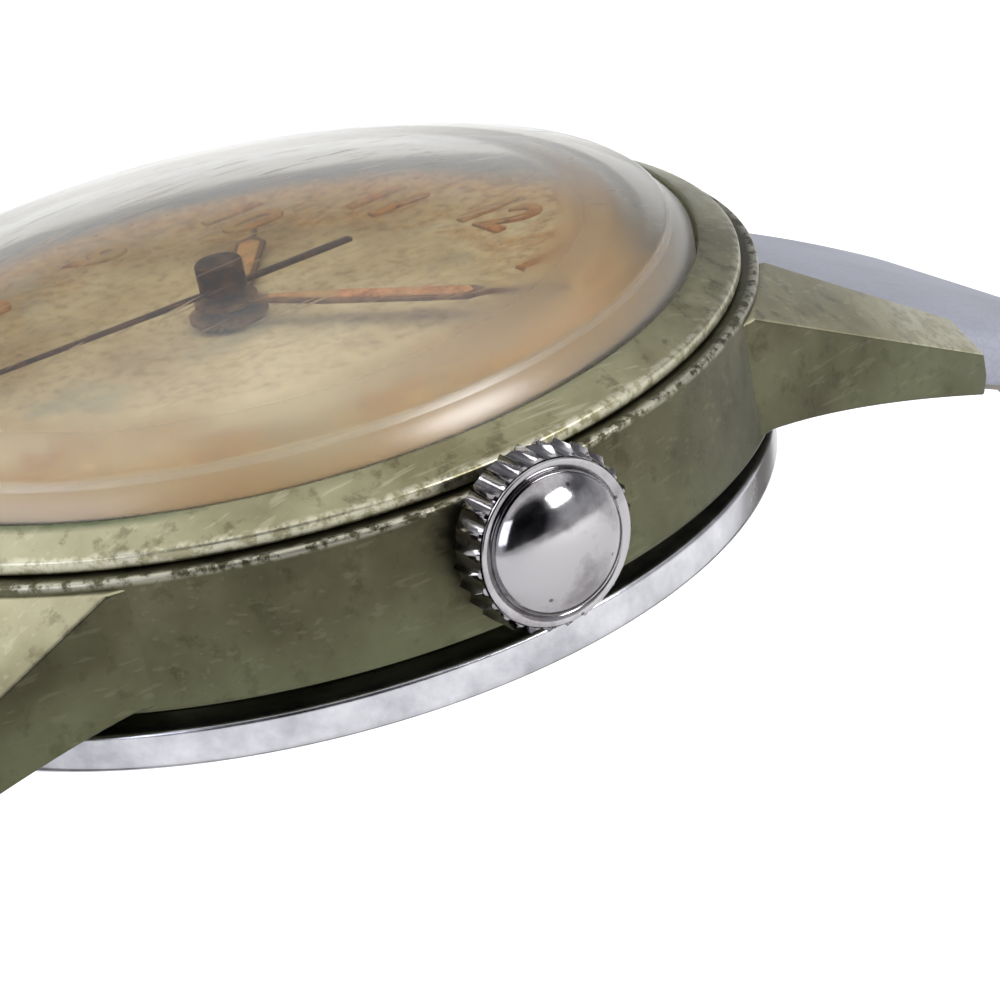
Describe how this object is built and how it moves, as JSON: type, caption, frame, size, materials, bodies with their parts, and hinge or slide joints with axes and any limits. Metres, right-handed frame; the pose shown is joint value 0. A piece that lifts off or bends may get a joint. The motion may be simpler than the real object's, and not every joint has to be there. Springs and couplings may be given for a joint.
{
  "type": "wristwatch",
  "caption": "Hand-wound wristwatch with centre seconds: round lugged case, domed crystal, fluted crown and a two-piece leather strap with pin buckle.",
  "frame": {"origin": "middle of the case back's flat face", "axes": "+Z out through the dial, +X along the winding stem to the crown at 3 o'clock, +Y to 12 o'clock"},
  "size_m": [0.0353, 0.0862, 0.0561],
  "materials": {
    "worn_chrome": "worn chrome plating with olive tarnish",
    "acrylic": "clear polished acrylic",
    "back_steel": "polished stainless steel",
    "steel": "fine ground steel",
    "blued_steel": "blued steel",
    "crown_chrome": "bright chrome",
    "brass": "gilt brass",
    "nickel": "striped nickel plating",
    "dial_paint": "aged cream lacquer",
    "lume": "steel hand filled with aged luminous paint",
    "gasket": "black rubber",
    "leather": "smooth grey leather"
  },
  "bodies": {
    "case": {"case_body": "worn_chrome", "bezel": "worn_chrome", "crystal": "acrylic", "case_back": "back_steel", "case_back_gasket": "gasket", "crown_tube": "steel", "movement_ring": "brass", "dial": "dial_paint", "main_plate": "brass", "barrel_bridge": "nickel", "train_bridge": "nickel", "pallet_bridge": "nickel", "balance_cock": "nickel", "barrel_bridge_screw_1": "blued_steel", "barrel_bridge_screw_2": "blued_steel", "train_bridge_screw_1": "blued_steel", "train_bridge_screw_2": "blued_steel", "balance_cock_screw": "blued_steel", "crown_wheel_screw": "blued_steel", "hairspring": "blued_steel", "spring_bar_12": "steel", "spring_bar_6": "steel"},
    "regulator": {"regulator": "steel"},
    "barrel": {"barrel_drum": "brass", "barrel_cover": "brass", "mainspring": "steel"},
    "barrel_arbor": {"barrel_arbor": "steel", "ratchet_wheel": "steel", "ratchet_screw": "blued_steel"},
    "crown_wheel": {"crown_wheel": "steel"},
    "click": {"click": "steel"},
    "centre_wheel": {"centre_wheel": "brass", "cannon_pinion": "steel", "minute_hand": "lume"},
    "third_wheel": {"third_wheel": "brass"},
    "fourth_wheel": {"fourth_wheel": "brass", "seconds_hand": "blued_steel"},
    "escape_wheel": {"escape_wheel": "steel"},
    "pallet_fork": {"pallet_fork": "steel"},
    "balance": {"balance_wheel": "brass"},
    "minute_wheel": {"minute_wheel": "brass"},
    "hour_wheel": {"hour_wheel": "brass", "hour_hand": "lume"},
    "setting_wheel": {"setting_wheel": "steel"},
    "crown_slide": {"crown_gasket": "gasket"},
    "crown": {"crown": "crown_chrome", "stem": "steel"},
    "winding_pinion": {"winding_pinion": "steel"},
    "yoke": {"yoke": "steel"},
    "sliding_pinion": {"sliding_pinion": "steel"},
    "setting_lever": {"setting_lever": "steel"},
    "strap_tail": {"strap_tail": "leather"},
    "strap_buckle_half": {"strap_buckle_half": "leather", "fixed_keeper": "leather"},
    "free_keeper": {"free_keeper": "leather"},
    "buckle_frame": {"buckle_frame": "back_steel", "buckle_spring_bar": "steel"},
    "buckle_tongue": {"buckle_tongue": "back_steel"}
  },
  "joints": [
    {"name": "seconds_turn", "type": "hinge", "parent": "case", "child": "fourth_wheel", "pos_m": [0, 0, 0.0028], "axis": [0, 0, 1], "continuous": true},
    {"name": "third_wheel_turn", "type": "hinge", "parent": "case", "child": "third_wheel", "pos_m": [-0.00298, -0.00426, 0.003], "axis": [0, 0, 1], "continuous": true},
    {"name": "minute_turn", "type": "hinge", "parent": "case", "child": "centre_wheel", "pos_m": [0, 0, 0.0033], "axis": [0, 0, 1], "continuous": true},
    {"name": "barrel_turn", "type": "hinge", "parent": "case", "child": "barrel", "pos_m": [0.00253, 0.00542, 0.004], "axis": [0, 0, 1], "continuous": true},
    {"name": "escape_turn", "type": "hinge", "parent": "case", "child": "escape_wheel", "pos_m": [0.00334, -0.00398, 0.0042], "axis": [0, 0, 1], "continuous": true},
    {"name": "minute_wheel_turn", "type": "hinge", "parent": "case", "child": "minute_wheel", "pos_m": [0.0024, 0, 0.006], "axis": [0, 0, 1], "continuous": true},
    {"name": "hour_turn", "type": "hinge", "parent": "case", "child": "hour_wheel", "pos_m": [0, 0, 0.0062], "axis": [0, 0, 1], "continuous": true},
    {"name": "setting_wheel_turn", "type": "hinge", "parent": "case", "child": "setting_wheel", "pos_m": [0.00552, 0, 0.006], "axis": [0, 0, 1], "continuous": true},
    {"name": "pallet_rock", "type": "hinge", "parent": "case", "child": "pallet_fork", "pos_m": [0.00238, -0.00656, 0.0042], "axis": [0, 0, 1], "range_deg": [-5, 5]},
    {"name": "balance_swing", "type": "hinge", "parent": "case", "child": "balance", "pos_m": [0.0018, -0.0081, 0.0035], "axis": [0, 0, 1], "range_deg": [-135, 135], "stiffness_Nm_per_rad": 0.00000025},
    {"name": "regulator_turn", "type": "hinge", "parent": "case", "child": "regulator", "pos_m": [0.0018, -0.0081, 0.002], "axis": [0, 0, 1], "range_deg": [-12, 12]},
    {"name": "crown_pull", "type": "slide", "parent": "case", "child": "crown_slide", "axis": [1, 0, 0], "range_m": [0, 0.0009]},
    {"name": "crown_turn", "type": "hinge", "parent": "crown_slide", "child": "crown", "pos_m": [0, 0, 0.00553], "axis": [1, 0, 0], "continuous": true},
    {"name": "winding_pinion_turn", "type": "hinge", "parent": "case", "child": "winding_pinion", "pos_m": [0.0092, 0, 0.00553], "axis": [1, 0, 0], "continuous": true},
    {"name": "crown_wheel_turn", "type": "hinge", "parent": "case", "child": "crown_wheel", "pos_m": [0.00779, 0, 0.002], "axis": [0, 0, 1], "continuous": true},
    {"name": "ratchet_turn", "type": "hinge", "parent": "case", "child": "barrel_arbor", "pos_m": [0.00253, 0.00542, 0.002], "axis": [0, 0, 1], "continuous": true},
    {"name": "yoke_swing", "type": "hinge", "parent": "case", "child": "yoke", "pos_m": [0.0078, -0.0036, 0.0064], "axis": [0, 0, 1], "range_deg": [0, 4.1]},
    {"name": "sliding_pinion_turn", "type": "hinge", "parent": "yoke", "child": "sliding_pinion", "pos_m": [0.0078, 0, 0.00553], "axis": [1, 0, 0], "continuous": true},
    {"name": "setting_lever_swing", "type": "hinge", "parent": "case", "child": "setting_lever", "pos_m": [0.01045, 0.0026, 0.0064], "axis": [0, 0, 1], "range_deg": [0, 20.3]},
    {"name": "click_lift", "type": "hinge", "parent": "case", "child": "click", "pos_m": [-0.00267, 0.00842, 0.0019], "axis": [0, 0, 1], "range_deg": [0, 8], "stiffness_Nm_per_rad": 0.00002},
    {"name": "strap_tail_hinge", "type": "hinge", "parent": "case", "child": "strap_tail", "pos_m": [0, 0.01805, 0.002], "axis": [1, 0, 0], "range_deg": [0, 65]},
    {"name": "strap_buckle_hinge", "type": "hinge", "parent": "case", "child": "strap_buckle_half", "pos_m": [0, -0.01805, 0.002], "axis": [-1, 0, 0], "range_deg": [0, 65]},
    {"name": "free_keeper_slide", "type": "hinge", "parent": "strap_buckle_half", "child": "free_keeper", "pos_m": [0, -0.02651, -0.02574], "axis": [1, 0, 0], "range_deg": [-14, 29]},
    {"name": "buckle_hinge", "type": "hinge", "parent": "strap_buckle_half", "child": "buckle_frame", "pos_m": [0, -0.02299, -0.04024], "axis": [1, 0, 0], "range_deg": [-60, 60]},
    {"name": "tongue_hinge", "type": "hinge", "parent": "buckle_frame", "child": "buckle_tongue", "pos_m": [0, -0.02299, -0.04024], "axis": [-1, 0, 0], "range_deg": [0, 100]}
  ],
  "couplings": [
    {"joint": "third_wheel_turn", "follows": "seconds_turn", "ratio": -0.13333},
    {"joint": "minute_turn", "follows": "seconds_turn", "ratio": 0.016667},
    {"joint": "barrel_turn", "follows": "seconds_turn", "ratio": -0.002381},
    {"joint": "escape_turn", "follows": "seconds_turn", "ratio": -10},
    {"joint": "minute_wheel_turn", "follows": "seconds_turn", "ratio": -0.0055556},
    {"joint": "hour_turn", "follows": "seconds_turn", "ratio": 0.0013889},
    {"joint": "setting_wheel_turn", "follows": "seconds_turn", "ratio": 0.0075758},
    {"joint": "winding_pinion_turn", "follows": "crown_turn", "ratio": 1},
    {"joint": "sliding_pinion_turn", "follows": "crown_turn", "ratio": 1},
    {"joint": "crown_wheel_turn", "follows": "crown_turn", "ratio": 0.85714},
    {"joint": "ratchet_turn", "follows": "crown_turn", "ratio": -0.52535},
    {"joint": "setting_lever_swing", "follows": "crown_pull", "rad_per_m": 392.7},
    {"joint": "yoke_swing", "follows": "crown_pull", "rad_per_m": 78.54}
  ]
}
